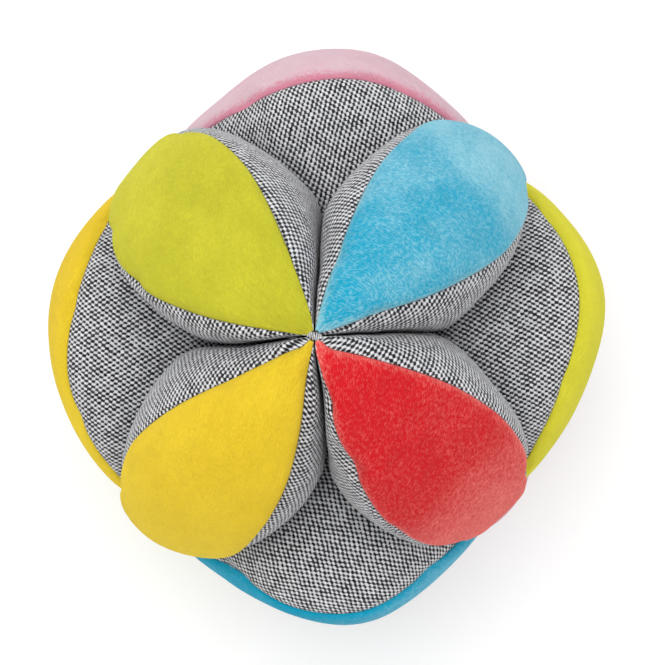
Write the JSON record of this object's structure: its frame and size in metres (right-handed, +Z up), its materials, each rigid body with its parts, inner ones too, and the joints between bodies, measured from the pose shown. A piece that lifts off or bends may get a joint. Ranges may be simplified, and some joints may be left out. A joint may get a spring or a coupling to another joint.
{
  "type": "grasping ball",
  "caption": "Soft sewn grasping ball of stuffed plush and woven wedges tacked at their tips, with finger pockets between them.",
  "frame": {"origin": "centre of the base, on the plane through the four flats that the ball stands on", "axes": "+Z up through the top and base crossings; +X and +Y through the east and north crossings"},
  "size_m": [0.1276, 0.1276, 0.1272],
  "materials": {
    "plush_lime": "short-pile plush",
    "plush_blue": "short-pile plush",
    "plush_yellow": "short-pile plush",
    "plush_red": "short-pile plush",
    "plush_pink": "short-pile plush",
    "weave": "plain weave of black and white yarn",
    "fibre": "loose polyester filling",
    "thread": "sewing thread"
  },
  "bodies": {
    "tacks": {"tack_top": "thread", "tack_base": "thread", "tack_east": "thread", "tack_north": "thread", "tack_west": "thread", "tack_south": "thread"},
    "wedge_top_east": {"plush_top_east": "plush_blue", "weave_top_east_left": "weave", "weave_top_east_right": "weave", "fibre_top_east": "fibre"},
    "wedge_top_north": {"plush_top_north": "plush_lime", "weave_top_north_left": "weave", "weave_top_north_right": "weave", "fibre_top_north": "fibre"},
    "wedge_top_west": {"plush_top_west": "plush_yellow", "weave_top_west_left": "weave", "weave_top_west_right": "weave", "fibre_top_west": "fibre"},
    "wedge_top_south": {"plush_top_south": "plush_red", "weave_top_south_left": "weave", "weave_top_south_right": "weave", "fibre_top_south": "fibre"},
    "wedge_side_northeast": {"plush_side_northeast": "plush_pink", "weave_side_northeast_left": "weave", "weave_side_northeast_right": "weave", "fibre_side_northeast": "fibre"},
    "wedge_side_northwest": {"plush_side_northwest": "plush_yellow", "weave_side_northwest_left": "weave", "weave_side_northwest_right": "weave", "fibre_side_northwest": "fibre"},
    "wedge_side_southwest": {"plush_side_southwest": "plush_blue", "weave_side_southwest_left": "weave", "weave_side_southwest_right": "weave", "fibre_side_southwest": "fibre"},
    "wedge_side_southeast": {"plush_side_southeast": "plush_lime", "weave_side_southeast_left": "weave", "weave_side_southeast_right": "weave", "fibre_side_southeast": "fibre"},
    "wedge_base_east": {"plush_base_east": "plush_red", "weave_base_east_left": "weave", "weave_base_east_right": "weave", "fibre_base_east": "fibre"},
    "wedge_base_north": {"plush_base_north": "plush_blue", "weave_base_north_left": "weave", "weave_base_north_right": "weave", "fibre_base_north": "fibre"},
    "wedge_base_west": {"plush_base_west": "plush_lime", "weave_base_west_left": "weave", "weave_base_west_right": "weave", "fibre_base_west": "fibre"},
    "wedge_base_south": {"plush_base_south": "plush_pink", "weave_base_south_left": "weave", "weave_base_south_right": "weave", "fibre_base_south": "fibre"}
  },
  "joints": [
    {"name": "rock_top_east", "type": "hinge", "parent": "tacks", "child": "wedge_top_east", "pos_m": [0.0285, 0, 0.0919], "axis": [0.7071, 0, -0.7071], "range_deg": [-3, 3], "stiffness_Nm_per_rad": 0.1},
    {"name": "rock_top_north", "type": "hinge", "parent": "tacks", "child": "wedge_top_north", "pos_m": [0, 0.0285, 0.0919], "axis": [0, 0.7071, -0.7071], "range_deg": [-3, 3], "stiffness_Nm_per_rad": 0.1},
    {"name": "rock_top_west", "type": "hinge", "parent": "tacks", "child": "wedge_top_west", "pos_m": [-0.0285, 0, 0.0919], "axis": [-0.7071, 0, -0.7071], "range_deg": [-3, 3], "stiffness_Nm_per_rad": 0.1},
    {"name": "rock_top_south", "type": "hinge", "parent": "tacks", "child": "wedge_top_south", "pos_m": [0, -0.0285, 0.0919], "axis": [0, -0.7071, -0.7071], "range_deg": [-3, 3], "stiffness_Nm_per_rad": 0.1},
    {"name": "rock_side_northeast", "type": "hinge", "parent": "tacks", "child": "wedge_side_northeast", "pos_m": [0.0285, 0.0285, 0.0634], "axis": [-0.7071, 0.7071, 0], "range_deg": [-3, 3], "stiffness_Nm_per_rad": 0.1},
    {"name": "rock_side_northwest", "type": "hinge", "parent": "tacks", "child": "wedge_side_northwest", "pos_m": [-0.0285, 0.0285, 0.0634], "axis": [-0.7071, -0.7071, 0], "range_deg": [-3, 3], "stiffness_Nm_per_rad": 0.1},
    {"name": "rock_side_southwest", "type": "hinge", "parent": "tacks", "child": "wedge_side_southwest", "pos_m": [-0.0285, -0.0285, 0.0634], "axis": [0.7071, -0.7071, 0], "range_deg": [-3, 3], "stiffness_Nm_per_rad": 0.1},
    {"name": "rock_side_southeast", "type": "hinge", "parent": "tacks", "child": "wedge_side_southeast", "pos_m": [0.0285, -0.0285, 0.0634], "axis": [0.7071, 0.7071, 0], "range_deg": [-3, 3], "stiffness_Nm_per_rad": 0.1},
    {"name": "rock_base_east", "type": "hinge", "parent": "tacks", "child": "wedge_base_east", "pos_m": [0.0285, 0, 0.0349], "axis": [0.7071, 0, 0.7071], "range_deg": [-3, 3], "stiffness_Nm_per_rad": 0.1},
    {"name": "rock_base_north", "type": "hinge", "parent": "tacks", "child": "wedge_base_north", "pos_m": [0, 0.0285, 0.0349], "axis": [0, 0.7071, 0.7071], "range_deg": [-3, 3], "stiffness_Nm_per_rad": 0.1},
    {"name": "rock_base_west", "type": "hinge", "parent": "tacks", "child": "wedge_base_west", "pos_m": [-0.0285, 0, 0.0349], "axis": [-0.7071, 0, 0.7071], "range_deg": [-3, 3], "stiffness_Nm_per_rad": 0.1},
    {"name": "rock_base_south", "type": "hinge", "parent": "tacks", "child": "wedge_base_south", "pos_m": [0, -0.0285, 0.0349], "axis": [0, -0.7071, 0.7071], "range_deg": [-3, 3], "stiffness_Nm_per_rad": 0.1}
  ]
}
